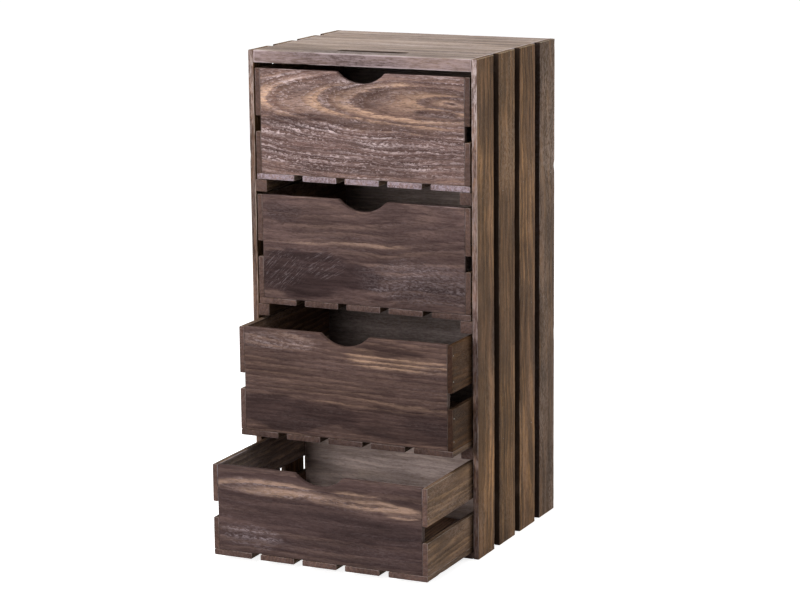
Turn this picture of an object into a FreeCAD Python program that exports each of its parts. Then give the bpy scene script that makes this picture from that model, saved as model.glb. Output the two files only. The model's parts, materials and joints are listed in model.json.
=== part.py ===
import FreeCAD, Part
import math
import os

import Sketcher

# A slatted wooden chest with four crate-like drawers.
# X runs across the chest, Y from the front to the back, Z up.
# The origin is on the floor, in the middle of the space that the chest and its open drawers
# take up, and lengths are in millimetres.

# Driving sizes: alias, value, what it is
SIZES = [
    ("width", 360, "chest, outside of the side slats"),
    ("depth", 291, "chest, front to back"),
    ("height", 722, "chest, floor to top"),
    ("side_slat_thickness", 9, "side slats"),
    ("side_slat_gap", 17, "gap between two side slats"),
    ("top_thickness", 18, "top board"),
    ("slot_length", 110, "carrying slot in the top board, end to end"),
    ("slot_width", 20, "carrying slot, front to back"),
    ("slot_setback", 43, "front edge of the top board to the middle of the slot"),
    ("slot_round", 2.5, "rounded rims of the carrying slot"),
    ("back_thickness", 5, "back panel"),
    ("back_inset", 3, "back panel in front of the rear edges of the slats"),
    ("back_lift", 6, "back panel above the floor"),
    ("runner_width", 18, "runners, across"),
    ("runner_height", 18, "runners under the upper drawers"),
    ("low_runner_height", 9, "runners under the lowest drawer"),
    ("top_gap", 7.5, "top board to the first drawer"),
    ("run_clearance", 0.4, "runner to the drawer that it carries"),
    ("lift_clearance", 3.6, "drawer to the runner above it"),
    ("side_clearance", 2, "drawer to the side slats, each side"),
    ("stop_clearance", 0.5, "closed drawer to the back panel"),
    ("low_drawer_drop", 26.9, "how much lower the lowest drawer is than the others"),
    ("front_thickness", 9, "drawer front board"),
    ("rear_thickness", 9, "drawer back board"),
    ("crate_side_thickness", 8, "slats of a drawer's sides"),
    ("crate_side_gap", 23, "gap between the two slats of a drawer's side"),
    ("upper_slat_extra", 7.5, "how much wider a drawer's upper side slat is than its lower one"),
    ("bottom_thickness", 8.5, "bottom slats of a drawer"),
    ("bottom_gap", 13.5, "gap between two bottom slats"),
    ("bottom_edge_width", 61, "outermost bottom slats"),
    ("pull_width", 76, "finger cut-out, between its sharp corners"),
    ("pull_depth", 16.5, "finger cut-out, below the top edge"),
    ("pull_shoulder", 4, "rounded shoulders of the finger cut-out"),
    ("edge_bevel", 0.8, "bevelled edges of every board"),
    ("third_pulled", 64, "third drawer, drawn out"),
    ("fourth_pulled", 152, "fourth drawer, drawn out"),
]

# Sizes that follow from the driving sizes: alias, formula
DERIVED = [
    ("side_slat_width", "(depth - 3 * side_slat_gap) / 4"),
    ("front_place", "(fourth_pulled - depth) / 2"),
    ("inner_width", "width - 2 * side_slat_thickness"),
    ("inner_depth", "depth - back_inset - back_thickness"),
    ("drawer_width", "inner_width - 2 * side_clearance"),
    ("drawer_depth", "inner_depth - stop_clearance"),
    ("board_width", "drawer_width - 2 * crate_side_thickness"),
    ("first_top", "height - top_thickness - top_gap"),
    ("low_floor", "low_runner_height + run_clearance"),
    ("between_drawers", "lift_clearance + runner_height + run_clearance"),
    ("drawer_height", "(first_top - low_floor - 3 * between_drawers + low_drawer_drop) / 4"),
    ("low_drawer_height", "drawer_height - low_drawer_drop"),
    ("drawer_pitch", "drawer_height + between_drawers"),
    ("middle_slat_width", "(drawer_width - 2 * bottom_edge_width - 4 * bottom_gap) / 3"),
    ("pull_radius", "(pull_width * pull_width / 4 + pull_depth * pull_depth) / (2 * pull_depth)"),
]

SIDE_SLATS = 4
MIDDLE_SLATS = 3
# Each drawer, from the top one down: its height, the height of its floor, how far it is drawn out
DRAWERS = [
    ("drawer_height", "first_top - drawer_height", "0"),
    ("drawer_height", "first_top - drawer_height - drawer_pitch", "0"),
    ("drawer_height", "first_top - drawer_height - 2 * drawer_pitch", "third_pulled"),
    ("low_drawer_height", "low_floor", "fourth_pulled"),
]
# Lengths nearer than this are the same when edges are told apart
TOUCH = 0.01


def make_sheet(doc):
    """Puts the sizes in a spreadsheet, each under its alias."""
    sheet = doc.addObject("Spreadsheet::Sheet", "Sizes")
    for row, (alias, value, meaning) in enumerate(SIZES, 1):
        sheet.set(f"A{row}", meaning)
        sheet.set(f"B{row}", str(value))
        sheet.setAlias(f"B{row}", alias)
    for row, (alias, formula) in enumerate(DERIVED, len(SIZES) + 1):
        sheet.set(f"A{row}", alias.replace("_", " "))
        sheet.set(f"B{row}", f"={formula}")
        sheet.setAlias(f"B{row}", alias)
    doc.recompute()


def sized(formula):
    """A formula over the aliases, as an expression that other objects can use."""
    names = sorted((row[0] for row in SIZES + DERIVED), key=len, reverse=True)
    words = formula.split(" ")
    for place, word in enumerate(words):
        bare = word.strip("()")
        if bare in names:
            words[place] = word.replace(bare, f"Sizes.{bare}")
    return " ".join(words)


def new_body(doc, label, place):
    """A body whose placement follows three formulas."""
    body = doc.addObject("PartDesign::Body", label)
    body.Label = label
    for axis, formula in zip("xyz", place):
        body.setExpression(f"Placement.Base.{axis}", sized(formula))
    return body


def new_sketch(body, role, name):
    """A sketch on one of the body's own origin planes."""
    sketch = body.newObject("Sketcher::SketchObject", name)
    plane = next(item for item in body.Origin.OriginFeatures if item.Role == role)
    sketch.AttachmentSupport = [(plane, "")]
    sketch.MapMode = "FlatFace"
    return sketch


def constrain(sketch, name, kind, items, start, formula):
    """Adds a dimension to the sketch and binds it to a formula."""
    number = sketch.addConstraint(Sketcher.Constraint(kind, *items, start))
    sketch.renameConstraint(number, name)
    sketch.setExpression(f"Constraints.{name}", sized(formula))


def draw_rectangle(sketch, across, along):
    """A rectangle with its low corner on the sketch's origin, drawn small and then sized."""
    start = 10.0
    corners = [(0, 0), (start, 0), (start, start), (0, start)]
    points = [FreeCAD.Vector(x, y, 0) for x, y in corners]
    for side in range(4):
        sketch.addGeometry(Part.LineSegment(points[side], points[(side + 1) % 4]))
    for side in range(4):
        sketch.addConstraint(Sketcher.Constraint("Coincident", side, 2, (side + 1) % 4, 1))
        kind = "Vertical" if side % 2 else "Horizontal"
        sketch.addConstraint(Sketcher.Constraint(kind, side))
    sketch.addConstraint(Sketcher.Constraint("Coincident", 0, 1, -1, 1))
    constrain(sketch, "across", "DistanceX", (0, 1, 0, 2), start, across)
    constrain(sketch, "along", "DistanceY", (1, 1, 1, 2), start, along)


def pad_sketch(body, sketch, length, name):
    """Pads a sketch by a formula."""
    pad = body.newObject("PartDesign::Pad", name)
    pad.Profile = sketch
    pad.setExpression("Length", sized(length))
    body.Document.recompute()
    return pad


def edges_where(feature, wanted):
    """The names of a feature's edges that a test wants."""
    return [f"Edge{i}" for i, edge in enumerate(feature.Shape.Edges, 1) if wanted(edge)]


def runs_along(axis):
    """A test for straight edges that lie along an axis."""
    def wanted(edge):
        if edge.Curve.TypeId != "Part::GeomLine":
            return False
        return abs(getattr(edge.tangentAt(edge.FirstParameter), axis)) > 0.99
    return wanted


def dress_edges(body, kind, feature, edges, size, name):
    """Rounds or bevels the named edges of a feature: kind is Fillet or Chamfer."""
    dressed = body.newObject(f"PartDesign::{kind}", name)
    dressed.Base = (feature, edges)
    dressed.setExpression("Radius" if kind == "Fillet" else "Size", sized(size))
    body.Document.recompute()
    return dressed


def cut_sketch(body, sketch, name, reverse):
    """Cuts a sketch right through the body and makes sure that it took wood away."""
    before = body.Shape.Volume
    pocket = body.newObject("PartDesign::Pocket", name)
    pocket.Profile = sketch
    pocket.Type = "ThroughAll"
    pocket.Reversed = reverse
    body.Document.recompute()
    if not pocket.Shape.Volume < before:
        raise RuntimeError(f"{body.Label}: {name} cuts nothing")
    return pocket


def make_board(doc, label, size, place, grain):
    """A plain board whose edges along the grain are bevelled."""
    body = new_body(doc, label, place)
    sketch = new_sketch(body, "XY_Plane", "outline")
    draw_rectangle(sketch, size[0], size[1])
    pad = pad_sketch(body, sketch, size[2], "board")
    dress_edges(body, "Chamfer", pad, edges_where(pad, runs_along(grain)), "edge_bevel", "bevels")
    return body


def make_side(doc, side, x_place):
    """The upright slats of one side of the chest."""
    size = ("side_slat_thickness", "side_slat_width", "height")
    for number in range(SIDE_SLATS):
        y_place = f"front_place + {number} * ( side_slat_width + side_slat_gap )"
        make_board(doc, f"{side}_side_slat_{number + 1}", size, (x_place, y_place, "0"), "z")


def make_runners(doc, side, x_place):
    """The square strips on one side that the drawers slide on."""
    for number, (_, floor, _) in enumerate(DRAWERS, 1):
        tall = "low_runner_height" if number == len(DRAWERS) else "runner_height"
        size = ("runner_width", "inner_depth", tall)
        place = (x_place, "front_place", f"{floor} - run_clearance - {tall}")
        make_board(doc, f"{side}_runner_{number}", size, place, "y")


def draw_slot(sketch):
    """A slot with round ends, across the board and symmetric about its middle."""
    # Where the slot is first drawn, before its dimensions place it
    half, radius, middle, setback = 45.0, 10.0, 171.0, 43.0

    def corner(side, row):
        return FreeCAD.Vector(middle + side * half, setback + row * radius, 0)

    def round_end(side):
        centre = FreeCAD.Vector(middle + side * half, setback, 0)
        circle = Part.Circle(centre, FreeCAD.Vector(0, 0, 1), radius)
        first = -side * math.pi / 2
        return Part.ArcOfCircle(circle, first, first + math.pi)

    sketch.addGeometry(Part.LineSegment(corner(-1, -1), corner(1, -1)))
    sketch.addGeometry(round_end(1))
    sketch.addGeometry(Part.LineSegment(corner(1, 1), corner(-1, 1)))
    sketch.addGeometry(round_end(-1))
    for first in range(4):
        sketch.addConstraint(Sketcher.Constraint("Tangent", first, 2, (first + 1) % 4, 1))
    sketch.addConstraint(Sketcher.Constraint("Horizontal", 0))
    sketch.addConstraint(Sketcher.Constraint("Equal", 1, 3))
    constrain(sketch, "end_radius", "Radius", (1,), radius, "slot_width / 2")
    constrain(sketch, "straight", "DistanceX", (0, 1, 0, 2), 2 * half, "slot_length - slot_width")
    constrain(sketch, "start", "DistanceX", (-1, 1, 3, 3), middle - half,
              "( inner_width - slot_length + slot_width ) / 2")
    constrain(sketch, "setback", "DistanceY", (-1, 1, 3, 3), setback, "slot_setback")


def make_top(doc, x_place):
    """The top board, between the side slats, with its carrying slot."""
    body = new_body(doc, "top_board", (x_place, "front_place", "height - top_thickness"))
    outline = new_sketch(body, "XY_Plane", "outline")
    draw_rectangle(outline, "inner_width", "depth")
    pad = pad_sketch(body, outline, "top_thickness", "board")
    bevels = dress_edges(body, "Chamfer", pad, edges_where(pad, runs_along("x")), "edge_bevel", "bevels")
    slot = new_sketch(body, "XY_Plane", "slot_outline")
    draw_slot(slot)
    cut = cut_sketch(body, slot, "carrying_slot", True)
    board = bevels.Shape.BoundBox

    def on_slot_rim(edge):
        box = edge.BoundBox
        on_face = min(abs(box.ZMin - board.ZMin), abs(box.ZMin - board.ZMax)) < TOUCH
        inside = board.XMin + TOUCH < box.XMin and box.XMax < board.XMax - TOUCH
        return on_face and box.ZLength < TOUCH and inside

    dress_edges(body, "Fillet", cut, edges_where(cut, on_slot_rim), "slot_round", "slot_rims")


def draw_pull(sketch, height):
    """A circle that cuts the finger pull out of the top edge of a front board."""
    # Where the circle is first drawn, before its dimensions place it
    radius, middle, rise = 52.0, 161.0, 189.0
    circle = Part.Circle(FreeCAD.Vector(middle, rise, 0), FreeCAD.Vector(0, 0, 1), radius)
    sketch.addGeometry(circle)
    constrain(sketch, "pull_radius", "Radius", (0,), radius, "pull_radius")
    constrain(sketch, "middle", "DistanceX", (-1, 1, 0, 3), middle, "board_width / 2")
    constrain(sketch, "rise", "DistanceY", (-1, 1, 0, 3), rise,
              f"{height} - bottom_thickness - pull_depth + pull_radius")


def make_front(doc, label, height, place):
    """A drawer's front board, with an arched finger cut-out whose shoulders are rounded."""
    body = new_body(doc, label, place)
    outline = new_sketch(body, "XY_Plane", "outline")
    draw_rectangle(outline, "board_width", "front_thickness")
    pad_sketch(body, outline, f"{height} - bottom_thickness", "board")
    pull = new_sketch(body, "XZ_Plane", "pull_outline")
    draw_pull(pull, height)
    cut = cut_sketch(body, pull, "finger_cut", False)
    box = cut.Shape.BoundBox

    def between_ends(edge):
        return box.XMin + TOUCH < edge.BoundBox.Center.x < box.XMax - TOUCH

    def on_shoulder(edge):
        on_top = abs(edge.BoundBox.Center.z - box.ZMax) < TOUCH
        return runs_along("y")(edge) and between_ends(edge) and on_top

    def on_long_rim(edge):
        middle = edge.BoundBox.Center
        on_face = min(abs(middle.y - box.YMin), abs(middle.y - box.YMax)) < TOUCH
        above_bottom = middle.z > box.ZMin + TOUCH
        return on_face and edge.BoundBox.YLength < TOUCH and above_bottom and between_ends(edge)

    shoulders = edges_where(cut, on_shoulder)
    shaped = dress_edges(body, "Fillet", cut, shoulders, "pull_shoulder", "shoulders")
    dress_edges(body, "Chamfer", shaped, edges_where(shaped, on_long_rim), "edge_bevel", "bevels")


def make_crate_side(doc, label, height, place):
    """The upper and the lower slat of one side of a drawer."""
    x_place, y_place, floor = place
    both = f"{height} - bottom_thickness - crate_side_gap"
    upper, lower = f"( {both} + upper_slat_extra ) / 2", f"( {both} - upper_slat_extra ) / 2"
    upper_place = (x_place, y_place, f"{floor} + {height} - {upper}")
    lower_place = (x_place, y_place, f"{floor} + bottom_thickness")
    make_board(doc, f"{label}_upper_slat", ("crate_side_thickness", "drawer_depth", upper), upper_place, "y")
    make_board(doc, f"{label}_lower_slat", ("crate_side_thickness", "drawer_depth", lower), lower_place, "y")


def make_middle_slats(doc, label, place):
    """The equal slats in the middle of a drawer's bottom, as one pattern."""
    size = ("middle_slat_width", "drawer_depth", "bottom_thickness")
    body = make_board(doc, label, size, place, "y")
    body.AllowCompound = True
    first = body.Tip
    pattern = body.newObject("PartDesign::LinearPattern", "row_of_slats")
    pattern.Originals = [first.Base[0], first]
    pattern.Direction = (first.Base[0].Profile[0], ["H_Axis"])
    pattern.Occurrences = MIDDLE_SLATS
    pattern.setExpression("Length", sized(f"{MIDDLE_SLATS - 1} * ( middle_slat_width + bottom_gap )"))
    body.Tip = pattern
    doc.recompute()
    if len(body.Shape.Solids) != MIDDLE_SLATS:
        raise RuntimeError(f"{label}: the pattern lost a slat")


def make_drawer(doc, number, height, floor, pulled):
    """One drawer, made like a crate from boards and slats."""
    name = f"drawer_{number}"
    left, y_place = "0 - drawer_width / 2", f"front_place - {pulled}"
    board_x = f"{left} + crate_side_thickness"
    board_z = f"{floor} + bottom_thickness"
    make_front(doc, f"{name}_front", height, (board_x, y_place, board_z))
    rear_size = ("board_width", "rear_thickness", f"{height} - bottom_thickness")
    rear_place = (board_x, f"{y_place} + drawer_depth - rear_thickness", board_z)
    make_board(doc, f"{name}_rear", rear_size, rear_place, "x")
    right_x = "drawer_width / 2 - crate_side_thickness"
    make_crate_side(doc, f"{name}_left", height, (left, y_place, floor))
    make_crate_side(doc, f"{name}_right", height, (right_x, y_place, floor))
    edge_size = ("bottom_edge_width", "drawer_depth", "bottom_thickness")
    make_board(doc, f"{name}_bottom_left_slat", edge_size, (left, y_place, floor), "y")
    middle_x = f"{left} + bottom_edge_width + bottom_gap"
    make_middle_slats(doc, f"{name}_bottom_middle_slats", (middle_x, y_place, floor))
    last_x = "drawer_width / 2 - bottom_edge_width"
    make_board(doc, f"{name}_bottom_right_slat", edge_size, (last_x, y_place, floor), "y")


def make_chest(doc):
    """The fixed carcass: side slats, top, back and runners."""
    inner_left = "0 - inner_width / 2"
    make_side(doc, "left", "0 - width / 2")
    make_side(doc, "right", "width / 2 - side_slat_thickness")
    make_top(doc, inner_left)
    back_size = ("inner_width", "back_thickness", "height - top_thickness - back_lift")
    back_place = (inner_left, "front_place + inner_depth", "back_lift")
    make_board(doc, "back_panel", back_size, back_place, "z")
    make_runners(doc, "left", inner_left)
    make_runners(doc, "right", "inner_width / 2 - runner_width")


def check_objects(doc):
    """Stops the build if anything failed to recompute, is loose or has no valid shape."""
    for item in doc.Objects:
        if {"Invalid", "Error"} & set(item.State):
            raise RuntimeError(f"{item.Label}: {item.State}")
    for sketch in doc.findObjects("Sketcher::SketchObject"):
        if not sketch.FullyConstrained:
            raise RuntimeError(f"{sketch.Label}: the sketch can still move")
    for body in doc.findObjects("PartDesign::Body"):
        if body.Shape.isNull() or not body.Shape.isValid():
            raise RuntimeError(f"{body.Label}: no valid shape")


def write_parts(doc):
    """Writes each sub-part to its own STEP file."""
    os.makedirs("parts", exist_ok=True)
    for body in doc.findObjects("PartDesign::Body"):
        body.Shape.exportStep(f"parts/{body.Label}.step")


def main():
    doc = FreeCAD.newDocument("chest")
    make_sheet(doc)
    make_chest(doc)
    for number, sizes in enumerate(DRAWERS, 1):
        make_drawer(doc, number, *sizes)
    doc.recompute()
    check_objects(doc)
    write_parts(doc)


main()
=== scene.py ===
import json
import math
import random

import bmesh
import bpy
from mathutils import Matrix, Vector, noise

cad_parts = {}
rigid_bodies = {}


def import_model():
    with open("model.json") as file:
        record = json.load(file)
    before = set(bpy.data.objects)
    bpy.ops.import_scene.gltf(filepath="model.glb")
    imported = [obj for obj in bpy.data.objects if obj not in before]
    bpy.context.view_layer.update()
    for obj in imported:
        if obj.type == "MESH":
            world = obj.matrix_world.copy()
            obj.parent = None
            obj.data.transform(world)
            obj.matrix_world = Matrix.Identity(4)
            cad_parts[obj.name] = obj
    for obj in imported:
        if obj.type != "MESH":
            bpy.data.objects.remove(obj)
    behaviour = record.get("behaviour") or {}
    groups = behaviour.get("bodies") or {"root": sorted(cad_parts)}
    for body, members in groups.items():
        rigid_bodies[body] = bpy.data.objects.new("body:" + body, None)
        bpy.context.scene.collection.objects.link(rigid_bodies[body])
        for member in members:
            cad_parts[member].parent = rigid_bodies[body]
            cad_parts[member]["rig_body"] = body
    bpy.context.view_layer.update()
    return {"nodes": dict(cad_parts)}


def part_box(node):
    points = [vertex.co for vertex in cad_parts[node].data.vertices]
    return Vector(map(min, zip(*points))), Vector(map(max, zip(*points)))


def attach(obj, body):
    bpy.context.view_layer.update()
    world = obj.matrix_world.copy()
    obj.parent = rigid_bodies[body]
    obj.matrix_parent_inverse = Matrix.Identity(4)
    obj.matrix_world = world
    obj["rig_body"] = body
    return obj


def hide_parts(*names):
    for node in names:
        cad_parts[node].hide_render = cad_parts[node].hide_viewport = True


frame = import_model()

# A slatted wooden chest of drawers, dressed in brushed and stained wood. Lengths are in metres where
# nothing else is said. X runs across the chest, -Y out of its front, Z up.

NODES = frame["nodes"]
SIDES = (("left", -1), ("right", 1))
SIDE_SLATS, DRAWERS, MIDDLE_SLATS = 4, 4, 3

# The camera of the photograph: angles in radians, focal length in pixels of an 800 pixel wide picture
YAW, PITCH, ROLL = -0.4404, -0.2050, -0.0100
EYE = Vector((1.6257, -3.3941, 1.1369))
FOCAL_PIXELS, PICTURE_WIDTH, SENSOR = 2626.6, 800, 36.0
FARTHEST = 50.0

WHITE = (1.0, 1.0, 1.0, 1.0)
# The brightness of the room as a light and as the eye sees it, and the lamps: place, target, size, watts
ROOM_LIGHT, ROOM_SEEN = 0.32, 1.0
LAMPS = {
    "front": ((-0.75, -3.0, 0.9), (0.0, 0.0, 0.4), 1.0, 62.0),
    "overhead": ((-0.3, -0.6, 2.7), (0.0, 0.0, 0.6), 1.2, 38.0),
    "side": ((2.1, 1.6, 0.45), (0.0, 0.0, 0.3), 1.2, 42.0),
}
# The floor: half its size, its grey as a reflector and as the eye sees it, the glow that makes it white
FLOOR_REACH, FLOOR_GLOW = 30.0, 0.8
FLOOR_LIT, FLOOR_SEEN = (0.7, 0.7, 0.7, 1.0), (0.8, 0.8, 0.8, 1.0)

# What the wood group takes and what it gives
WOOD_INPUTS = {
    "NodeSocketVector": ["Grain"],
    "NodeSocketFloat": ["Seed", "Heart", "Depth", "Slope", "Bow", "Ring", "Warp", "Tan", "Flecks", "Dark",
                        "Lines", "Streaks", "Mottle", "Fibres", "Edge", "Wear", "End", "Rough"],
    "NodeSocketColor": ["Middle Colour", "Dark Colour", "Tan Colour", "Pale Colour", "Rub Colour"],
}
WOOD_OUTPUTS = {"NodeSocketColor": ["Colour"], "NodeSocketFloat": ["Roughness", "Height"]}

# The noises of the wood: scale along the grain and across it per metre, what is added to the seed of
# the board, detail, roughness and distortion
NOISES = {
    "sway": (7.0, 16.0, 0.0, 2.0, 0.5, 0.0),
    "ripple": (45.0, 120.0, 3.1, 5.0, 0.62, 0.0),
    "uneven rings": (2.0, 60.0, 7.7, 1.0, 0.5, 0.0),
    "fibres": (24.0, 290.0, 1.3, 5.0, 0.74, 0.0),
    "flecks": (170.0, 430.0, 5.9, 3.0, 0.60, 0.3),
    "pores": (110.0, 700.0, 9.2, 3.0, 0.6, 0.0),
    "streaks": (3.0, 52.0, 27.3, 3.0, 0.6, 0.0),
    "patches": (6.0, 22.0, 11.4, 2.0, 0.5, 0.0),
    "stain": (4.0, 14.0, 15.8, 3.0, 0.6, 0.0),
    "bold lines": (9.0, 40.0, 44.6, 2.0, 0.5, 0.0),
    "mottle": (8.0, 30.0, 38.2, 3.0, 0.6, 0.0),
    "rub": (30.0, 300.0, 21.0, 3.0, 0.65, 0.0),
}
# The scale of a noise into the board, as a share of its scale across it
INTO_SHARE = 0.6
# Noises that don't follow the rings, with their scales along, across and into the board
SPECK_SCALE, SPECK_DETAIL, SPECK_ROUGHNESS = (60.0, 430.0, 430.0), 4.0, 0.7
RUB_ZONE_SCALE, RUB_ZONE_DETAIL = (11.0, 30.0, 30.0), 2.0

# Where each amount starts and stops to rise, and what it gives at either end if not nought and one
FADES = {
    "late wood": (0.25, 0.85), "ring edge": (0.86, 1.0, 1.0, 0.0),
    "fleck zone": (0.30, 0.60, 0.35, 1.0), "flecks": (0.43, 0.56),
    "bold lines": (0.20, 0.44), "bold zone": (0.42, 0.58, 0.15, 1.0), "thin lines": (0.24, 0.46, 0.0, 0.55),
    "pores": (0.36, 0.48, 1.0, 0.0), "stain": (0.36, 0.60, 0.4, 1.0), "tone": (0.38, 0.60),
    "streaks": (0.36, 0.64), "mottle": (0.34, 0.66), "tan zone": (0.66, 0.40, 0.3, 1.0),
    "tan in ring": (0.60, 0.15, 0.30, 1.0), "tan in tone": (0.0, 1.0, 0.45, 1.0),
    "specks": (0.42, 0.60, 0.12, 1.0), "rub zone": (0.36, 0.6, 0.3, 1.2), "worn": (1.2, 0.4),
    "gloss": (0.3, 0.7, 0.42, 0.55),
}

# How far the ripple moves the rings, and how many turns the noises move the lines
RIPPLE_SHARE, UNEVEN_TURNS, FIBRE_TURNS = 0.22, 1.6, 0.5
# Bold lines for each ring, thin lines for each bold one, how far fibres move the thin ones, and how
# much the flecks show where the lines don't break them up
LINES_PER_RING, THIN_PER_BOLD, FIBRES_IN_THIN, UNBROKEN = 1.5, 2.6, 1.5, 0.3
# How dark streaks make a board as a whole: their share and the rest
STREAK_SHADE, BASE_SHADE = 0.5, 0.75
# How dark late wood is: its share on boards with lines and the rest
LATE_ON_LINES, LATE_SHARE = 0.25, 0.18
# What deep stain leaves of a colour, and how far each colour covers the one below it
STAINED = (0.34, 0.33, 0.36)
TAN_COVER, STAIN_COVER, PALE_COVER, END_COVER, ROUGH_COVER, WORN_COVER = 0.85, 0.85, 0.80, 0.35, 0.9, 0.7
# How high fibres, late wood, flecks and specks stand, how deep pores lie, how they change the gloss
FIBRE_RISE, LATE_RISE, FLECK_RISE, SPECK_RISE, PORE_RISE, PORE_GLOSS = 0.5, 0.35, 0.3, 0.6, -0.35, 0.25
BUMP_STRENGTH, BUMP_DISTANCE, SPECULAR = 0.7, 0.0012, 0.03
# The least reach of worn edges, since the distance to the edge is divided by it
LEAST_REACH = 0.00001

# Each kind of board: how far from its edges it is worn, how streaky, mottled and fibrous it is, how its
# colour differs on what faces the front, and its colours: middle, dark, tan, pale, and that of rubbed
# edges and ends
KINDS = {
    "front": dict(
        wear=0.0014, streaks=0.25, mottle=0.25, fibres=0.51,
        colours=((0.135, 0.084, 0.072), (0.036, 0.020, 0.018), (0.310, 0.196, 0.132), (0.370, 0.293, 0.290),
                 (0.300, 0.235, 0.225))),
    "side": dict(
        wear=0.0022, streaks=0.70, mottle=0.60, fibres=0.39, facing_front=(1.04, 1.06, 1.50),
        colours=((0.166, 0.092, 0.049), (0.049, 0.027, 0.014), (0.340, 0.182, 0.074), (0.310, 0.220, 0.155),
                 (0.520, 0.410, 0.270))),
    "top": dict(
        wear=0.0045, streaks=0.9, mottle=0.30, fibres=0.50, facing_front=(0.66, 0.59, 0.62),
        colours=((0.370, 0.295, 0.250), (0.170, 0.125, 0.100), (0.400, 0.305, 0.215), (0.520, 0.455, 0.435),
                 (0.560, 0.490, 0.480))),
    "crate": dict(
        wear=0.0018, streaks=0.5, mottle=0.55, fibres=0.41, facing_front=(0.69, 0.64, 0.77),
        colours=((0.155, 0.096, 0.063), (0.055, 0.032, 0.020), (0.250, 0.150, 0.080), (0.300, 0.230, 0.190),
                 (0.300, 0.240, 0.200))),
    "rear": dict(
        wear=0.003, streaks=0.6, mottle=0.30, fibres=0.50,
        colours=((0.260, 0.205, 0.190), (0.120, 0.088, 0.078), (0.290, 0.220, 0.175), (0.380, 0.325, 0.315),
                 (0.380, 0.325, 0.315))),
    "back": dict(
        wear=0.003, streaks=0.5, mottle=0.5, fibres=0.42,
        colours=((0.125, 0.085, 0.065), (0.055, 0.036, 0.027), (0.180, 0.120, 0.078), (0.260, 0.205, 0.180),
                 (0.300, 0.250, 0.230))),
}
# What every board has unless its kind or its own entry says otherwise. The inside factor is how much
# lighter a crate is inside: paler wood where less stain was brushed on, and painted light on inner faces in
# shade.
COMMON = dict(bow=0.0, lines=0.3, tint=(1.0, 1.0, 1.0), bare=(1.8, 1.8, 1.9), facing_front=None,
              spots=(), scratches=())
# What is drawn by lot, from and to, and what is drawn once more for the side slats
LOTS = dict(light=(0.88, 1.12), heart=(-60, 60), depth=(8, 45), slope=(-0.06, 0.06), ring=(5, 9),
            warp=(7, 14), tan=(0.3, 0.9), flecks=(0.15, 0.5), dark=(0.1, 0.45))
SIDE_LOTS = dict(tan=(0.3, 0.9), ring=(7, 12), warp=(18, 30))
# The seeds of a board's wood and of its shape are drawn from nought up to these
MOST_SEED, MOST_SHAPE_SEED = 60, 50
# Painted shade: the near-black colour given to the edges in the gaps, the slot's walls and the fronts' seams
PAINTED_SHADE_COLOUR = (0.027, 0.018, 0.012, 1.0)

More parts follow.
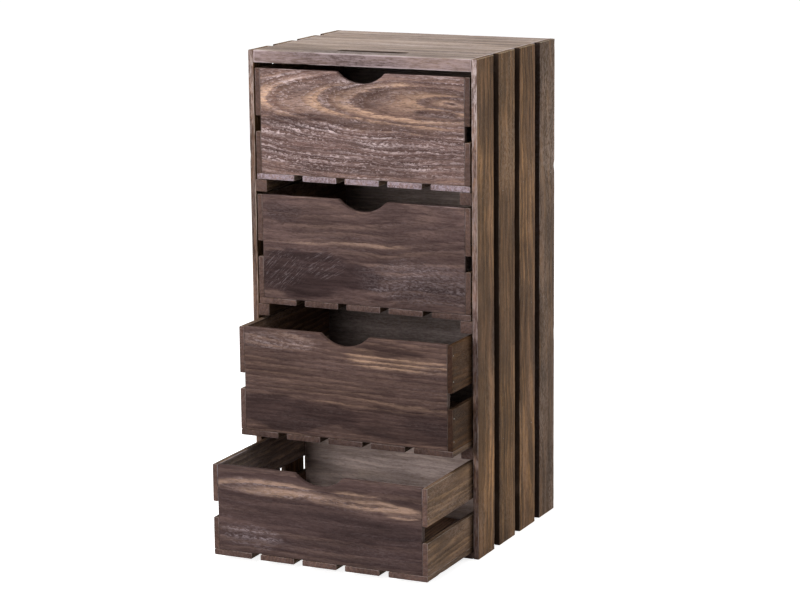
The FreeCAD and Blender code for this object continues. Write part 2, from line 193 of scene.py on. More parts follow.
# What sets single boards apart. Light and tint change their colours. Heart, depth, ring and warp are in
# millimetres and, with slope and bow, place the rings as the wood group says. Spots are soft ovals on the
# board, from its middle: along and across in millimetres, half sizes, then tan, flecks, dark. Scratches
# are patches of thin pale lines: the same four lengths, their slant in degrees, how strongly they show.
BOARDS = {
    "drawer_1_front": dict(
        light=1.90, heart=36, depth=27, slope=-0.165, ring=11.5, warp=19,
        tan=0.15, flecks=0.6, dark=0.1, lines=1.0,
        spots=[(45, 30, 140, 34, 0.85, -0.15, 0.0), (-115, 42, 75, 30, 0.95, 0.35, -0.2),
               (0, -35, 190, 40, -0.2, 0.6, 0.6), (60, -4, 90, 14, 0.0, 0.0, 0.35),
               (0, 44, 60, 20, 0.0, 0.2, 0.5), (-80, 4, 90, 14, 0.0, -0.1, 1.0),
               (118, 23, 36, 6, -0.7, 0.2, 0.9), (120, 36, 55, 30, -0.1, 0.1, 0.28)]),
    "drawer_2_front": dict(
        light=1.22, tint=(0.98, 1.0, 1.05), fibres=0.36, heart=62, depth=18, slope=0.16, ring=13.0, warp=24,
        tan=0.2, flecks=0.08, dark=0.2, lines=0.6,
        scratches=[(-132, -32, 42, 34, 44, 0.20), (-62, -22, 36, 24, 30, 0.20),
                   (95, -30, 90, 28, -14, 0.19)],
        spots=[(-95, -38, 120, 34, -0.4, -0.05, 2.2), (-40, 12, 110, 6, 0.9, 0.0, -0.2),
               (85, -34, 100, 32, 0.0, 0.30, 0.55), (-125, 52, 30, 18, 0.0, 0.1, 0.4)]),
    "drawer_3_front": dict(
        light=1.20, fibres=0.34, heart=95, depth=30, slope=-0.10, ring=8.0, warp=9,
        tan=0.25, flecks=0.08, dark=0.35, lines=0.6,
        spots=[(-105, 60, 65, 15, 0.6, 0.4, -0.2), (95, 42, 90, 12, 0.9, 0.1, -0.4),
               (28, 50, 26, 9, 0.7, 0.0, 0.1), (-95, -45, 110, 25, -0.3, 0.0, 1.6),
               (90, -48, 110, 24, -0.2, 0.0, 1.15), (70, -22, 120, 9, 0.2, 0.0, 0.4),
               (60, 60, 70, 8, 0.0, 0.0, 0.6)]),
    "drawer_4_front": dict(
        light=1.00, tint=(0.98, 1.0, 1.07), mottle=0.3, fibres=0.26,
        heart=29, depth=2, slope=-0.02, ring=15.0, warp=12, bow=0.45,
        tan=0.2, flecks=0.08, dark=0.35, lines=0.7,
        spots=[(52, 30, 72, 13, 2.0, 0.1, -0.6), (-90, 36, 100, 12, 1.8, 0.4, -0.6),
               (130, 24, 36, 11, 1.6, 0.2, -0.6), (40, -8, 160, 18, -0.1, 0.0, 0.5),
               (40, -45, 120, 16, 0.0, 0.1, 0.4), (-110, -38, 50, 18, 0.1, 0.5, 0.0)]),
    "drawer_3_right_upper_slat": dict(light=0.44, tan=0.9, tint=(1.00, 0.84, 0.68)),
    "drawer_3_right_lower_slat": dict(light=0.38, tan=0.7, tint=(1.00, 0.84, 0.68)),
    "drawer_4_right_upper_slat": dict(light=1.15, tan=0.9),
    # Drawer 4's left inner side and rear and drawer 2's rear are lightened further: painted light where the
    # drawers' insides lie in shade
    "drawer_4_left_upper_slat": dict(light=1.0, bare=(2.7, 3.4, 4.7)),
    "drawer_4_rear": dict(light=2.2, dark=0.1),
    "drawer_3_rear": dict(light=0.8),
    "drawer_2_rear": dict(light=1.5),
    "right_side_slat_1": dict(
        light=1.0, dark=0.2, tint=(1.0, 1.0, 1.04),
        spots=[(-220, 0, 150, 90, 0.3, 0.1, -0.2), (-40, 0, 60, 90, -0.3, 0.0, 0.60),
               (166, 0, 60, 90, 0.3, 0.2, -0.3)]),
    "right_side_slat_2": dict(
        light=0.88, dark=0.3,
        spots=[(-230, 0, 130, 90, 0.1, 0.1, 0.0), (10, 0, 110, 90, -0.2, 0.0, 0.4),
               (270, 0, 110, 90, 0.0, 0.5, -0.5)]),
    "right_side_slat_3": dict(
        light=0.93, dark=0.2, tint=(1.0, 1.0, 1.05),
        spots=[(-220, 0, 110, 90, 0.3, 0.1, -0.2), (-85, 0, 100, 90, -0.3, 0.0, 0.40),
               (140, 0, 60, 90, 0.3, 0.2, -0.3)]),
    "right_side_slat_4": dict(
        light=0.97, dark=0.2, tint=(0.96, 1.03, 1.20),
        spots=[(-240, 0, 130, 90, -0.2, 0.0, 0.3), (270, 0, 110, 90, 0.0, 0.5, -0.4)]),
    "top_board": dict(
        light=1.18, tan=0.5, dark=0.15, flecks=0.4, tint=(1.0, 0.99, 1.0),
        spots=[(-60, -130, 170, 22, 0.0, 0.1, 0.45), (60, -126, 150, 24, 0.0, 0.1, 0.45),
               (0, -145, 400, 5, 0.5, -0.2, 0.3), (0, -115, 400, 75, 0.0, 0.0, 0.22)]),
}
for slat in ("left_slat", "middle_slats", "right_slat"):
    BOARDS["drawer_1_bottom_" + slat] = dict(light=1.95, tint=(0.95, 1.05, 1.2))
    BOARDS["drawer_3_bottom_" + slat] = dict(light=0.75)

# How spots waver: the scales of their noise, its detail and roughness, how far it moves them; and
# where an oval fades out, in squared shares of its half sizes
SPOT_NOISE, SPOT_DETAIL, SPOT_ROUGHNESS, SPOT_SWAY, SPOT_RIM = (14.0, 40.0, 40.0), 3.0, 0.6, 1.4, (1.3, 0.45)
# Scratches: the scales of their noise along and across them, detail and roughness, the noise at which
# the line is thinnest and widest, where a patch of them fades out, and what is added to the x of a patch
# to give it lines of its own
SCRATCH_ALONG, SCRATCH_ACROSS, SCRATCH_DETAIL, SCRATCH_ROUGHNESS = 20.0, 290.0, 2.0, 0.6
SCRATCH_LINE, SCRATCH_RIM, SCRATCH_SHIFT = (0.022, 0.004), (1.2, 0.2), 0.5

# How squarely a face has to look some way to count: from, to
TURNED = (0.5, 0.9)
TURNED_TO_END = (0.6, 0.9)
# How far the chest's front edges are rubbed at each height, and the left ones besides
EDGE_RUB, LEFT_EDGE_RUB = (0.57, 0.66, 0.30, 1.1), (0.35, 0.62, 0.35, 0.7)
# How far the top's front edge is rubbed, by the distance from its middle
TOP_EDGE_RUB = (0.03, 0.16, 0.36, 0.42)
# How far the ends of boards are rubbed
END_RUB = {"drawer_1_bottom": 0.85, "bottom": 0.25, "runner": 0.25, "": 0.15}
# How far painted shade covers the edges inside the gaps and the slot's walls, and the seams of a front,
# by the distance from its ends
GAP_SHADE, SLOT_SHADE, SEAM_SHADE = 0.85, 0.9, (0.0014, 0.0002, 0.0, 0.7)
# The carrying slot: where its middle lies, its half length and width with the rounded rims
SLOT_SETBACK, SLOT_REACH, SLOT_HALF_WIDTH = 0.043, 0.058, 0.013

# The distance between points that are one, and the angles, in radians, up to which a surface is flat,
# above which an edge is softened, and up to which it is shaded smooth
MERGE, FLAT, SHARP, SMOOTH = 1e-6, math.radians(1.0), 0.5, math.radians(35)
# How a board is worn: the softened edges, the slices along and across it, and how far its narrow faces
# sway and its wide ones with the ends, on side slats and on other boards
SOFT_EDGE, SLICE_ALONG, SLICE_ACROSS = 0.00035, 0.009, 0.02
SIDE_SWAY, OTHER_SWAY = (0.0011, 0.0003), (0.0005, 0.00025)
# Waves along a board: their scale, what keeps the two sides and the two directions apart, their share
# of the sway; and the share that they lie around
WAVES = ((9.0, 3.7, 5.1, 0.4), (55.0, 2.3, 8.9, 0.25))
MEAN_WEAR = 0.5
# The scale of the raggedness of the ends, across the board and into it
RAGGED_ACROSS, RAGGED_INTO = 60.0, 90.0
# Dents in the edges: how many for each metre of half a board, their reach and depth from and to, how
# near to the edge of the wide and of the narrow face they lie, and their share of depth in the wide one
DENTS_PER_METRE, DENT_REACH, DENT_DEPTH = 40, (0.004, 0.012), (0.0002, 0.0007)
DENT_NEAR_WIDE, DENT_NEAR_NARROW, DENT_WIDE_SHARE = 0.9, 0.7, 0.7

# Nail heads: their half width and height, how unevenly they are set, and how deep their middles lie
NAIL_WIDTH, NAIL_HEIGHT, NAIL_JITTER = 0.0011, 0.0003, 0.0015
NAIL_SUNK_SIDE, NAIL_SUNK = 0.0004, 0.0002
# Where they sit: shares of a board's width, rows down the back, distances from an edge
SIDE_NAILS, CRATE_NAILS, BOTTOM_NAILS = (0.25, 0.75), (0.22, 0.78), (0.3, 0.7)
BACK_ROWS, BACK_END, BACK_EDGE, CRATE_EDGE, MIDDLE_OFF = 9, 0.02, 0.008, 0.0045, 0.012
# Their metal: its two colours, the scale, detail and rims of its spots, how rough, metallic and bumpy
# it is
STEEL, STAINED_STEEL = (0.30, 0.27, 0.25, 1.0), (0.07, 0.05, 0.04, 1.0)
STEEL_SCALE, STEEL_DETAIL, STEEL_SPOTS = (900.0, 900.0, 900.0), 3.0, (0.40, 0.60)
STEEL_ROUGHNESS, METALLIC, STEEL_BUMP, STEEL_BUMP_DISTANCE = (0.3, 0.7, 0.35, 0.65), 0.8, 0.3, 0.0002


def place_camera():
    """Looks at the chest as the photograph does."""
    ahead = Vector((math.sin(YAW) * math.cos(PITCH), math.cos(YAW) * math.cos(PITCH), math.sin(PITCH)))
    right = Vector((math.cos(YAW), -math.sin(YAW), 0.0))
    up = right.cross(ahead)
    right, up = (math.cos(ROLL) * right + math.sin(ROLL) * up,
                 math.cos(ROLL) * up - math.sin(ROLL) * right)
    data = bpy.data.cameras.new("camera")
    data.sensor_width = SENSOR
    data.lens = FOCAL_PIXELS / PICTURE_WIDTH * SENSOR
    data.clip_end = FARTHEST
    camera = bpy.data.objects.new("camera", data)
    turn = Matrix((right, up, -ahead)).transposed()
    camera.matrix_world = Matrix.Translation(EYE) @ turn.to_4x4()
    bpy.context.scene.collection.objects.link(camera)
    bpy.context.scene.camera = camera


class Net:
    """Short calls that add nodes to an emptied tree and join them up."""

    def __init__(self, tree):
        self.tree = tree
        tree.nodes.clear()

    def node(self, kind, values=(), **settings):
        node = self.tree.nodes.new(kind)
        for key, value in settings.items():
            setattr(node, key, value)
        for key, value in dict(values).items():
            if isinstance(value, bpy.types.NodeSocket):
                self.tree.links.new(value, node.inputs[key])
            else:
                node.inputs[key].default_value = value
        return node

    def math(self, operation, *values, clamp=False):
        return self.node("ShaderNodeMath", enumerate(values), operation=operation,
                         use_clamp=clamp).outputs[0]

    def plus(self, first, *others):
        for other in others:
            first = self.math("ADD", first, other)
        return first

    def minus(self, first, second, clamp=False):
        return self.math("SUBTRACT", first, second, clamp=clamp)

    def times(self, first, *others, clamp=False):
        """The product, kept between nought and one at the end if clamp is set."""
        for other in others[:-1]:
            first = self.math("MULTIPLY", first, other)
        return self.math("MULTIPLY", first, others[-1], clamp=clamp)

    def times_plus(self, first, second, third):
        return self.math("MULTIPLY_ADD", first, second, third)

    def over(self, first, second):
        return self.math("DIVIDE", first, second)

    def size_of(self, value):
        return self.math("ABSOLUTE", value)

    def squares(self, u, v):
        """The sum of the squares."""
        return self.plus(self.times(u, u), self.times(v, v))

    def vector(self, operation, *values):
        return self.node("ShaderNodeVectorMath", enumerate(values), operation=operation).outputs["Vector"]

    def join(self, x, y, z):
        return self.node("ShaderNodeCombineXYZ", enumerate((x, y, z))).outputs[0]

    def split(self, vector):
        return self.node("ShaderNodeSeparateXYZ", {0: vector}).outputs[:]

    def noise(self, vector, detail=2.0, roughness=0.5, distortion=0.0):
        values = {"Vector": vector, "Scale": 1.0, "Detail": detail, "Roughness": roughness,
                  "Distortion": distortion}
        return self.node("ShaderNodeTexNoise", values).outputs[0]

    def fade(self, value, low, high, start=0.0, end=1.0):
        """Rises smoothly from start to end as the value goes from low to high."""
        values = {"Value": value, "From Min": low, "From Max": high, "To Min": start, "To Max": end}
        return self.node("ShaderNodeMapRange", values, interpolation_type="SMOOTHSTEP").outputs[0]

    def blend(self, factor, first, second):
        values = {0: factor, 6: first, 7: second}
        return self.node("ShaderNodeMix", values, data_type="RGBA").outputs[2]


def make_wood_group():
    """Brushed, stained wood whose rings are cut out of a tilted log.

    Grain is the place in the board in metres: along the grain, across the board, into it. The rings
    lie around a heart line at the height Heart across the board, Depth + Slope * u + Bow * u * u
    behind its face, so that they show as arches where that line comes near the face. Tan, Flecks and
    Dark say how much of each shows at this place, Lines how far the flecks keep to lines, Edge how far
    the nearest edge is, End whether this is end grain, Rough how far the brush has rubbed it pale.
    """
    tree = bpy.data.node_groups.new("wood", "ShaderNodeTree")
    for in_out, sockets in (("INPUT", WOOD_INPUTS), ("OUTPUT", WOOD_OUTPUTS)):
        for kind, names in sockets.items():
            for name in names:
                tree.interface.new_socket(name, in_out=in_out, socket_type=kind)
    net = Net(tree)
    given = {socket.name: socket for socket in net.node("NodeGroupInput").outputs}
    along, across, into = net.split(given["Grain"])

    def field(name, v=across):
        u_scale, v_scale, shift, detail, roughness, distortion = NOISES[name]
        place = net.join(net.times(along, u_scale), net.times(v, v_scale),
                         net.times_plus(into, v_scale * INTO_SHARE, net.plus(given["Seed"], shift)))
        return net.noise(place, detail, roughness, distortion)

    def faded(value, name):
        return net.fade(value, *FADES[name])

    # Rings of the log
    sway = net.minus(field("sway"), 0.5)
    ripple = net.minus(field("ripple"), 0.5)
    moved = net.times_plus(sway, given["Warp"], across)
    moved = net.times_plus(ripple, net.times(given["Warp"], RIPPLE_SHARE), moved)
    bow = net.times(given["Bow"], net.times(along, along))
    depth = net.plus(net.times_plus(given["Slope"], along, given["Depth"]), bow, into)
    radius = net.math("SQRT", net.squares(net.minus(moved, given["Heart"]), depth))
    turns = net.over(radius, given["Ring"])
    uneven = net.times(field("uneven rings", radius), UNEVEN_TURNS)

    # Fibres, pores, streaks and patches follow the rings
    fibre, fleck, pore = field("fibres", moved), field("flecks", moved), field("pores", moved)
    patches = field("patches", moved)
    phase = net.math("FRACT", net.plus(turns, net.times_plus(fibre, FIBRE_TURNS, uneven)))
    late_wood = net.times(faded(phase, "late wood"), faded(phase, "ring edge"))
    pores = faded(pore, "pores")

    # Pale flecks along bold and thin lines
    fleck_turns = net.times_plus(turns, LINES_PER_RING, net.plus(fleck, uneven))
    bold = faded(net.math("PINGPONG", fleck_turns, 0.5), "bold lines")
    bold = net.times(bold, faded(field("bold lines", moved), "bold zone"))
    thin_turns = net.times_plus(fleck_turns, THIN_PER_BOLD, net.times(fibre, FIBRES_IN_THIN))
    thin = faded(net.math("PINGPONG", thin_turns, 0.5), "thin lines")
    on_lines = net.math("MAXIMUM", net.math("MAXIMUM", bold, thin), net.minus(1.0, given["Lines"]))
    broken = net.math("MAXIMUM", faded(fleck, "flecks"), net.times(given["Lines"], UNBROKEN))
    fleck_zone = net.times(faded(patches, "fleck zone"), given["Flecks"])
    pale_flecks = net.times(on_lines, broken, fleck_zone, clamp=True)

    # Colour
    tone = faded(fibre, "tone")
    even = net.times_plus(given["Streaks"], STREAK_SHADE, BASE_SHADE)
    shade = net.times_plus(tone, net.times(given["Fibres"], -1.0), even)
    streaks = net.times(faded(field("streaks", moved), "streaks"), given["Streaks"])
    shade = net.minus(shade, streaks, clamp=True)
    colour = net.blend(shade, given["Middle Colour"], given["Dark Colour"])
    tan_zone = net.times(faded(patches, "tan zone"), given["Tan"])
    tan = net.times(tan_zone, faded(phase, "tan in ring"), faded(tone, "tan in tone"), clamp=True)
    colour = net.blend(net.times(tan, TAN_COVER), colour, given["Tan Colour"])
    late_share = net.times_plus(given["Lines"], LATE_ON_LINES, LATE_SHARE)
    colour = net.blend(net.times(late_wood, late_share), colour, given["Dark Colour"])
    stain = net.times(faded(field("stain", moved), "stain"), given["Dark"], clamp=True)
    stained = net.vector("MULTIPLY", colour, STAINED)
    colour = net.blend(net.times(stain, STAIN_COVER), colour, stained)
    colour = net.blend(net.times(pale_flecks, PALE_COVER), colour, given["Pale Colour"])
    colour = net.blend(net.times(pores, given["Fibres"]), colour, given["Dark Colour"])
    mottle = net.minus(faded(field("mottle"), "mottle"), 0.5)
    colour = net.vector("MULTIPLY", colour, net.times_plus(mottle, given["Mottle"], 1.0))

    # End grain and rubbed faces, brushed pale and speckled
    speck = net.noise(net.vector("MULTIPLY", given["Grain"], SPECK_SCALE), SPECK_DETAIL, SPECK_ROUGHNESS)
    rough = net.times(faded(speck, "specks"), given["Rough"])
    colour = net.blend(net.times(given["End"], END_COVER), colour, given["Middle Colour"])
    colour = net.blend(net.times(rough, ROUGH_COVER, clamp=True), colour, given["Rub Colour"])

    # Worn edges
    rub_zone = net.noise(net.vector("MULTIPLY", given["Grain"], RUB_ZONE_SCALE), RUB_ZONE_DETAIL)
    reach = net.times(given["Wear"], net.times(field("rub"), faded(rub_zone, "rub zone")))
    worn = faded(net.over(given["Edge"], net.math("MAXIMUM", reach, LEAST_REACH)), "worn")
    colour = net.blend(net.times(worn, WORN_COVER), colour, given["Rub Colour"])

    height = net.times_plus(fibre, FIBRE_RISE, net.times(late_wood, LATE_RISE))
    height = net.times_plus(pale_flecks, FLECK_RISE, height)
    height = net.times_plus(speck, net.times(given["Rough"], SPECK_RISE), height)
    height = net.times_plus(pores, PORE_RISE, height)
    roughness = net.times_plus(pore, PORE_GLOSS, faded(fibre, "gloss"))
    net.node("NodeGroupOutput", {"Colour": colour, "Roughness": roughness, "Height": height})
    return tree


def grain_of(name):
    """Which axis the grain, the width and the thickness of a board run along, and its kind."""
    if name == "back_panel":
        return (2, 0, 1), "back"
    if name == "top_board":
        return (0, 1, 2), "top"
    if "side_slat" in name:
        return (2, 1, 0), "side"
    if name.endswith("front"):
        return (0, 2, 1), "front"
    if name.endswith("rear"):
        return (0, 2, 1), "rear"
    if "bottom" in name:
        return (1, 0, 2), "crate"
    return (1, 2, 0), "crate"


def traits_of(name, kind, draw):
    """The rings and the finish of one board: drawn by lot, then set as listed where it has an entry."""
    traits = {**COMMON, **KINDS[kind]}
    traits.update({key: draw.uniform(*ends) for key, ends in LOTS.items()})
    if kind == "side":
        traits.update({key: draw.uniform(*ends) for key, ends in SIDE_LOTS.items()})
    traits.update(BOARDS.get(name, {}))
    return traits


def metres(millimetres):
    return millimetres / 1000


def edge_distance(net, place, name):
    """How far a point is from the nearest long edge or corner of its board."""
    low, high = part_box(name)
    if name.endswith("middle_slats"):
        outer = name.replace("middle_slats", "right_slat")
        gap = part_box(outer)[0].x - high.x
        pitch = (high.x - low.x + gap) / MIDDLE_SLATS
        x, y, z = net.split(place)
        folded = net.math("MODULO", net.minus(x, low.x), pitch)
        place = net.join(net.plus(folded, low.x), y, z)
        high = Vector((low.x + pitch - gap, high.y, high.z))
    near = net.vector("MINIMUM", net.vector("SUBTRACT", place, tuple(low)),
                      net.vector("SUBTRACT", tuple(high), place))
    x, y, z = net.split(near)
    return net.math("MAXIMUM", net.math("MINIMUM", x, y),
                    net.math("MINIMUM", net.math("MAXIMUM", x, y), z))


def add_spots(net, grain, spots, amounts):
    """Adds the soft ovals of a board to its amounts of tan, flecks and dark stain."""
    if not spots:
        return amounts
    along, across, _ = net.split(grain)
    sway = net.noise(net.vector("MULTIPLY", grain, SPOT_NOISE), SPOT_DETAIL, SPOT_ROUGHNESS)
    sway = net.minus(sway, 0.5)
    for x, z, wide, high, *shares in spots:
        u = net.over(net.minus(along, metres(x)), metres(wide))
        v = net.over(net.minus(across, metres(z)), metres(high))
        v = net.times_plus(sway, SPOT_SWAY, v)
        inside = net.fade(net.squares(u, v), *SPOT_RIM)
        amounts = [net.times_plus(inside, share, amount) if share else amount
                   for amount, share in zip(amounts, shares)]
    return amounts


def add_scratches(net, grain, scratches, colour, pale):
    """Draws the patches of thin pale scratches of a board."""
    along, across, into = net.split(grain)
    for x, z, wide, high, slant, share in scratches:
        u = net.minus(along, metres(x))
        v = net.minus(across, metres(z))
        far = net.squares(net.over(u, metres(wide)), net.over(v, metres(high)))
        cosine, sine = math.cos(math.radians(slant)), math.sin(math.radians(slant))
        onward = net.times_plus(u, cosine, net.times(v, sine))
        beside = net.minus(net.times(v, cosine), net.times(u, sine))
        place = net.join(net.times(onward, SCRATCH_ALONG), net.times(beside, SCRATCH_ACROSS),
                         net.plus(into, x + SCRATCH_SHIFT))
        off_line = net.size_of(net.minus(net.noise(place, SCRATCH_DETAIL, SCRATCH_ROUGHNESS), 0.5))
        shown = net.times(net.fade(off_line, *SCRATCH_LINE), net.fade(far, *SCRATCH_RIM))
        colour = net.blend(net.times(shown, share), colour, pale)
    return colour


def facing_front(net, normal):
    """How far a face looks out of the front, along -Y."""
    return net.fade(normal[1], -TURNED[0], -TURNED[1])


def rubbed(net, name, place, normal, end):
    """How far a face of a board is rubbed pale: its ends, the chest's front edges, the top's front."""
    if name.endswith("side_slat_1"):
        height = net.split(place)[2]
        share = net.fade(height, *EDGE_RUB)
        if name.startswith("left"):
            share = net.times(share, net.fade(height, *LEFT_EDGE_RUB))
        return net.times(facing_front(net, normal), share)
    if name == "top_board":
        off_middle = net.size_of(net.split(place)[0])
        return net.times(facing_front(net, normal), net.fade(off_middle, *TOP_EDGE_RUB))
    share = next(share for part, share in END_RUB.items() if part in name)
    return net.times(end, share)


def inward(net, name, normal):
    """How far a face of a drawer's board looks into the drawer, where it is paler from less stain and from
    painted light.
    """
    axis, sign = 2, 1.0
    if "slat" in name and "bottom" not in name:
        axis, sign = 0, 1.0 if "left" in name else -1.0
    return net.fade(net.times(normal[axis], sign), *TURNED)


def painted_shade(net, name, place, normal):
    """Where a board gets painted shade: in the gaps, on the walls of the slot, in a front's seams."""
    if "side_slat" in name:
        sideways = net.size_of(normal[1])
        if name.endswith("slat_1"):
            sideways = normal[1]
        elif name.endswith("slat_4"):
            sideways = net.times(normal[1], -1.0)
        return net.times(net.fade(sideways, *TURNED), GAP_SHADE)
    if name != "top_board" and not name.endswith("front"):
        return None
    low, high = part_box(name)
    x, y, z = net.split(place)
    if name == "top_board":
        in_reach = net.math("LESS_THAN", net.size_of(x), SLOT_REACH)
        off_slot = net.size_of(net.minus(y, low.y + SLOT_SETBACK))
        in_slot = net.math("LESS_THAN", off_slot, SLOT_HALF_WIDTH)
        steep = net.fade(net.size_of(normal[2]), *reversed(TURNED))
        return net.times(net.times(in_reach, in_slot), net.times(steep, SLOT_SHADE))
    to_end = net.math("MINIMUM", net.minus(x, low.x), net.minus(high.x, x))
    to_seam = net.math("MINIMUM", to_end, net.minus(z, low.z))
    return net.fade(to_seam, *SEAM_SHADE)


def make_material(name):
    """A new material and the net of its nodes."""
    material = bpy.data.materials.new(name)
    material.use_nodes = True
    return material, Net(material.node_tree)


def make_wood(name, group):
    """The wood of one board."""
    draw = random.Random(name)
    axes, kind = grain_of(name)
    traits = traits_of(name, kind, draw)
    low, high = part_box(name)
    middle = (low + high) / 2
    material, net = make_material("wood_" + name)
    coordinates = net.node("ShaderNodeTexCoord")
    place = coordinates.outputs["Object"]
    local = net.split(net.vector("SUBTRACT", place, tuple(middle)))
    normal = net.split(coordinates.outputs["Normal"])
    grain = net.join(*(local[axis] for axis in axes))
    end = net.fade(net.size_of(normal[axes[0]]), *TURNED_TO_END)
    amounts = [traits["tan"], traits["flecks"], traits["dark"]]
    tan, flecks, dark = add_spots(net, grain, traits["spots"], amounts)
    lights = [traits["light"] * share for share in traits["tint"]]
    colours = [tuple(min(1.0, part * light) for part, light in zip(colour, lights)) + (1.0,)
               for colour in traits["colours"]]
    values = {"Grain": grain, "Seed": draw.uniform(0, MOST_SEED), "Tan": tan, "Flecks": flecks, "Dark": dark,
              "Edge": edge_distance(net, place, name), "End": end,
              "Rough": rubbed(net, name, place, normal, end)}
    for key in ("slope", "bow", "lines", "streaks", "mottle", "fibres", "wear"):
        values[key.title()] = traits[key]
    for key in ("heart", "depth", "ring", "warp"):
        values[key.title()] = metres(traits[key])
    values.update(zip(WOOD_INPUTS["NodeSocketColor"], colours))
    wood = net.node("ShaderNodeGroup", values, node_tree=group)
    colour = wood.outputs["Colour"]
    if traits["scratches"]:
        colour = add_scratches(net, grain, traits["scratches"], colour, values["Pale Colour"])
    if traits["facing_front"]:
        turned = net.vector("MULTIPLY", colour, traits["facing_front"])
        colour = net.blend(facing_front(net, normal), colour, turned)
    # Inner faces of a drawer are made lighter: paler where less stain was brushed on, and painted light
    # where they lie in shade
    if kind == "crate" and "drawer" in name:
        bare = net.vector("MULTIPLY", colour, traits["bare"])
        colour = net.blend(inward(net, name, normal), colour, bare)
    # Painted shade on the edges in the gaps, on the slot's walls and in the fronts' seams
    deep = painted_shade(net, name, place, normal)
    if deep:
        colour = net.blend(deep, colour, PAINTED_SHADE_COLOUR)
    bump = net.node("ShaderNodeBump", {"Height": wood.outputs["Height"], "Strength": BUMP_STRENGTH,
                                       "Distance": BUMP_DISTANCE})
    shader = net.node("ShaderNodeBsdfPrincipled", {
        "Base Color": colour, "Roughness": wood.outputs["Roughness"],
        "Normal": bump.outputs["Normal"], "Specular IOR Level": SPECULAR})
    net.node("ShaderNodeOutputMaterial", {"Surface": shader.outputs[0]})
    return material


def make_nail_metal():
    """Dull steel, spotted with stain."""
    material, net = make_material("nail_metal")
    place = net.node("ShaderNodeTexCoord").outputs["Object"]
    spots = net.noise(net.vector("MULTIPLY", place, STEEL_SCALE), STEEL_DETAIL)
    colour = net.blend(net.fade(spots, *STEEL_SPOTS), STEEL, STAINED_STEEL)
    bump = net.node("ShaderNodeBump", {"Height": spots, "Strength": STEEL_BUMP,
                                       "Distance": STEEL_BUMP_DISTANCE})
    shader = net.node("ShaderNodeBsdfPrincipled", {
        "Base Color": colour, "Roughness": net.fade(spots, *STEEL_ROUGHNESS), "Metallic": METALLIC,
        "Normal": bump.outputs["Normal"]})
    net.node("ShaderNodeOutputMaterial", {"Surface": shader.outputs[0]})
    return material


def make_object(name, mesh, material):
    """Turns an edited mesh into a smooth object of the scene."""
    data = bpy.data.meshes.new(name)
    mesh.to_mesh(data)
    mesh.free()
    data.polygons.foreach_set("use_smooth", [True] * len(data.polygons))
    data.materials.append(material)
    thing = bpy.data.objects.new(name, data)
    bpy.context.scene.collection.objects.link(thing)
    return thing


def cut_across(mesh, axis, low, high, step):
    """Cuts a mesh into slices of about one step along an axis."""
    normal = [0.0, 0.0, 0.0]
    normal[axis] = 1.0
    count = max(2, round((high - low) / step))
    for number in range(1, count):
        point = [0.0, 0.0, 0.0]
        point[axis] = low + (high - low) * number / count
        geometry = mesh.verts[:] + mesh.edges[:] + mesh.faces[:]
        bmesh.ops.bisect_plane(mesh, geom=geometry, plane_co=point, plane_no=normal, dist=MERGE)


def wear_down(mesh, axes, middle, half, seed, sway, draw):
    """Moves the surface of a board inwards, unevenly along the grain, with a few dents in its edges."""
    along = axes[0]
    dents = [(draw.uniform(-half[along], half[along]), draw.choice((-1, 1)), draw.choice((-1, 1)),
              draw.uniform(*DENT_REACH), draw.uniform(*DENT_DEPTH))
             for _ in range(round(half[along] * DENTS_PER_METRE))]
    for vertex in mesh.verts:
        place = vertex.co - middle
        u = place[along]
        shares = [place[axis] / half[axis] for axis in axes]
        for number, axis in enumerate(axes[1:], 1):
            side = 1 if shares[number] > 0 else -1
            amount = MEAN_WEAR
            for scale, side_step, axis_step, share in WAVES:
                wave = Vector((u * scale, side * side_step + seed, number * axis_step))
                amount += share * noise.noise(wave)
            vertex.co[axis] -= shares[number] * max(0.0, sway[number - 1] * amount)
        v, w = place[axes[1]], place[axes[2]]
        ragged = noise.noise(Vector((v * RAGGED_ACROSS, w * RAGGED_INTO, seed)))
        vertex.co[along] -= shares[0] ** 3 * sway[1] * (0.5 + 0.5 * ragged)
        for at, v_side, w_side, reach, deep in dents:
            off = abs(u - at) / reach
            if off < 1 and shares[1] * v_side > DENT_NEAR_WIDE and shares[2] * w_side > DENT_NEAR_NARROW:
                fall = (1 - off * off) ** 2
                vertex.co[axes[1]] -= v_side * deep * fall
                vertex.co[axes[2]] -= w_side * deep * DENT_WIDE_SHARE * fall


def make_board(name, material):
    """The worn board that stands for a board of the frame: edges softened, uneven and dented."""
    draw = random.Random("shape " + name)
    axes, kind = grain_of(name)
    low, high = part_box(name)
    middle, half = (low + high) / 2, (high - low) / 2
    mesh = bmesh.new()
    mesh.from_mesh(NODES[name].data)
    bmesh.ops.remove_doubles(mesh, verts=mesh.verts, dist=MERGE)
    bmesh.ops.dissolve_limit(mesh, angle_limit=FLAT, verts=mesh.verts, edges=mesh.edges)
    sharp = [edge for edge in mesh.edges if len(edge.link_faces) == 2 and edge.calc_face_angle() > SHARP]
    bmesh.ops.bevel(mesh, geom=sharp, offset=SOFT_EDGE, segments=2, profile=0.5, affect="EDGES",
                    clamp_overlap=True)
    cut_across(mesh, axes[0], low[axes[0]], high[axes[0]], SLICE_ALONG)
    if not name.endswith("middle_slats"):
        cut_across(mesh, axes[1], low[axes[1]], high[axes[1]], SLICE_ACROSS)
    sway = SIDE_SWAY if kind == "side" else OTHER_SWAY
    wear_down(mesh, axes, middle, half, draw.uniform(0, MOST_SHAPE_SEED), sway, draw)
    board = make_object("worn_" + name, mesh, material)
    board.data.set_sharp_from_angle(angle=SMOOTH)
    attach(board, NODES[name]["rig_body"])
    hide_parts(name)


def dress_boards():
    """Puts a worn board with its own wood in the place of each board of the frame."""
    group = make_wood_group()
    for name in sorted(NODES):
        make_board(name, make_wood(name, group))


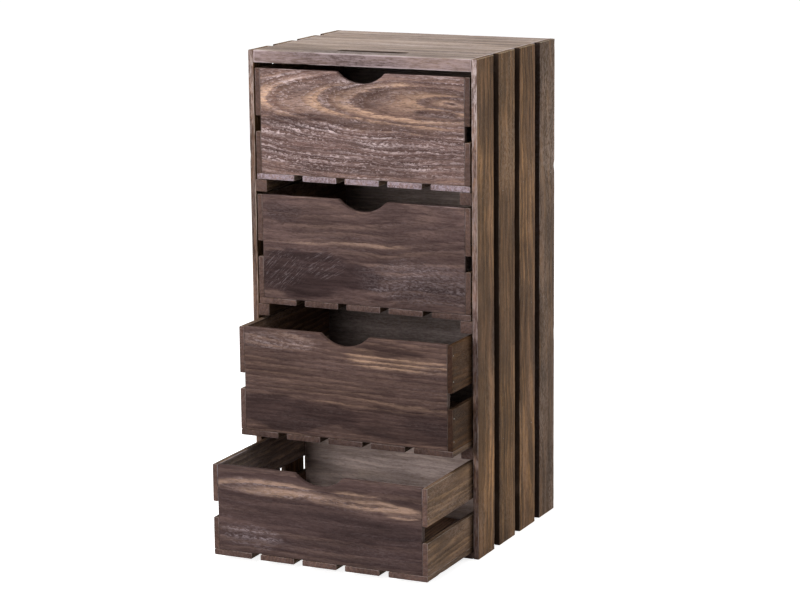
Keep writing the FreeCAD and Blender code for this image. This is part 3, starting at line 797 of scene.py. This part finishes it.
def make_nails(body, places, metal):
    """The small heads of a body's nails: place, and the way that each head faces."""
    mesh = bmesh.new()
    flat = Matrix.Diagonal((NAIL_WIDTH, NAIL_WIDTH, NAIL_HEIGHT, 1.0))
    for place, facing in places:
        turn = Vector(facing).to_track_quat("Z", "Y").to_matrix().to_4x4()
        head = bmesh.ops.create_uvsphere(mesh, u_segments=10, v_segments=6, radius=1.0)
        bmesh.ops.transform(mesh, verts=head["verts"], matrix=Matrix.Translation(place) @ turn @ flat)
    nails = make_object("nails_" + body, mesh, metal)
    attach(nails, body)


def chest_nails(jitter):
    """Nails the side slats to the top and the runners, and the back panel along its edges."""
    places = []
    for side, sign in SIDES:
        for slat in range(1, SIDE_SLATS + 1):
            low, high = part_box(f"{side}_side_slat_{slat}")
            x = (high.x if sign > 0 else low.x) - sign * NAIL_SUNK_SIDE
            levels = [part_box("top_board")]
            levels += [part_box(f"{side}_runner_{number}") for number in range(1, DRAWERS + 1)]
            for bottom, top in levels:
                for share in SIDE_NAILS:
                    y = low.y + (high.y - low.y) * share + jitter()
                    places.append(((x, y, (bottom.z + top.z) / 2 + jitter()), (sign, 0, 0)))
    low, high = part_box("back_panel")
    for number in range(BACK_ROWS):
        z = low.z + BACK_END + number * (high.z - low.z - 2 * BACK_END) / (BACK_ROWS - 1)
        for x in (low.x + BACK_EDGE, high.x - BACK_EDGE):
            places.append(((x + jitter(), high.y - NAIL_SUNK, z + jitter()), (0, 1, 0)))
    return places


def drawer_nails(name, jitter):
    """Nails the side and bottom slats of a drawer to its front and back."""
    places = []
    for side, sign in SIDES:
        for slat in ("upper", "lower"):
            low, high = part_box(f"{name}_{side}_{slat}_slat")
            x = (high.x if sign > 0 else low.x) - sign * NAIL_SUNK
            for y in (low.y + CRATE_EDGE, high.y - CRATE_EDGE):
                for share in CRATE_NAILS:
                    z = low.z + (high.z - low.z) * share + jitter()
                    places.append(((x, y + jitter() / 2, z), (sign, 0, 0)))
    for slat in ("left", "right"):
        low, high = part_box(f"{name}_bottom_{slat}_slat")
        for y in (low.y + CRATE_EDGE, high.y - CRATE_EDGE):
            for share in BOTTOM_NAILS:
                x = low.x + (high.x - low.x) * share
                places.append(((x, y + jitter() / 2, low.z + NAIL_SUNK), (0, 0, -1)))
    low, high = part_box(f"{name}_bottom_middle_slats")
    for y in (low.y + CRATE_EDGE, high.y - CRATE_EDGE):
        for slat in range(MIDDLE_SLATS):
            x = low.x + (high.x - low.x) * (slat + 0.5) / MIDDLE_SLATS
            for off in (-MIDDLE_OFF, MIDDLE_OFF):
                places.append(((x + off + jitter(), y + jitter() / 2, low.z + NAIL_SUNK), (0, 0, -1)))
    return places


def nail_boards():
    """Puts nails into the chest and into each drawer."""
    draw = random.Random("nails")

    def jitter():
        return draw.uniform(-NAIL_JITTER, NAIL_JITTER)

    metal = make_nail_metal()
    make_nails("chest", chest_nails(jitter), metal)
    for number in range(1, DRAWERS + 1):
        name = f"drawer_{number}"
        make_nails(name, drawer_nails(name, jitter), metal)


def seen_directly(net):
    """One for what the camera sees, also in gloss or through glass, and nought for other light."""
    path = net.node("ShaderNodeLightPath").outputs
    mirrored = net.math("MAXIMUM", path["Is Glossy Ray"], path["Is Transmission Ray"])
    return net.math("MAXIMUM", path["Is Camera Ray"], mirrored)


def make_floor():
    """A pale floor that shows white to the camera and keeps the chest's shadow."""
    mesh = bpy.data.meshes.new("floor")
    corners = [(x * FLOOR_REACH, y * FLOOR_REACH, 0) for x, y in ((-1, -1), (1, -1), (1, 1), (-1, 1))]
    mesh.from_pydata(corners, [], [(0, 1, 2, 3)])
    floor = bpy.data.objects.new("floor", mesh)
    bpy.context.scene.collection.objects.link(floor)
    material, net = make_material("floor")
    seen = seen_directly(net)
    lit = net.node("ShaderNodeBsdfDiffuse", {"Color": net.blend(seen, FLOOR_LIT, FLOOR_SEEN)})
    glow = net.node("ShaderNodeEmission", {"Color": WHITE, "Strength": net.times(seen, FLOOR_GLOW)})
    both = net.node("ShaderNodeAddShader", {0: lit.outputs[0], 1: glow.outputs[0]})
    net.node("ShaderNodeOutputMaterial", {"Surface": both.outputs[0]})
    mesh.materials.append(material)


def add_lamp(name, place, target, size, watts):
    """A soft square lamp that faces a point."""
    data = bpy.data.lights.new(name, "AREA")
    data.shape = "SQUARE"
    data.size = size
    data.energy = watts
    lamp = bpy.data.objects.new(name, data)
    lamp.location = place
    lamp.rotation_euler = (Vector(target) - Vector(place)).to_track_quat("-Z", "Y").to_euler()
    bpy.context.scene.collection.objects.link(lamp)


def light_room():
    """A dim even room with three soft lamps: in front to the left, overhead, and to the right behind."""
    world = bpy.data.worlds.new("room")
    bpy.context.scene.world = world
    world.use_nodes = True
    net = Net(world.node_tree)
    strengths = {"Value": seen_directly(net), "To Min": ROOM_LIGHT, "To Max": ROOM_SEEN}
    strength = net.node("ShaderNodeMapRange", strengths).outputs[0]
    light = net.node("ShaderNodeBackground", {"Color": WHITE, "Strength": strength})
    net.node("ShaderNodeOutputWorld", {"Surface": light.outputs[0]})
    for name, (place, target, size, watts) in LAMPS.items():
        add_lamp(name, place, target, size, watts)


place_camera()
light_room()
make_floor()
dress_boards()
nail_boards()

bpy.context.scene.view_settings.view_transform = "Standard"
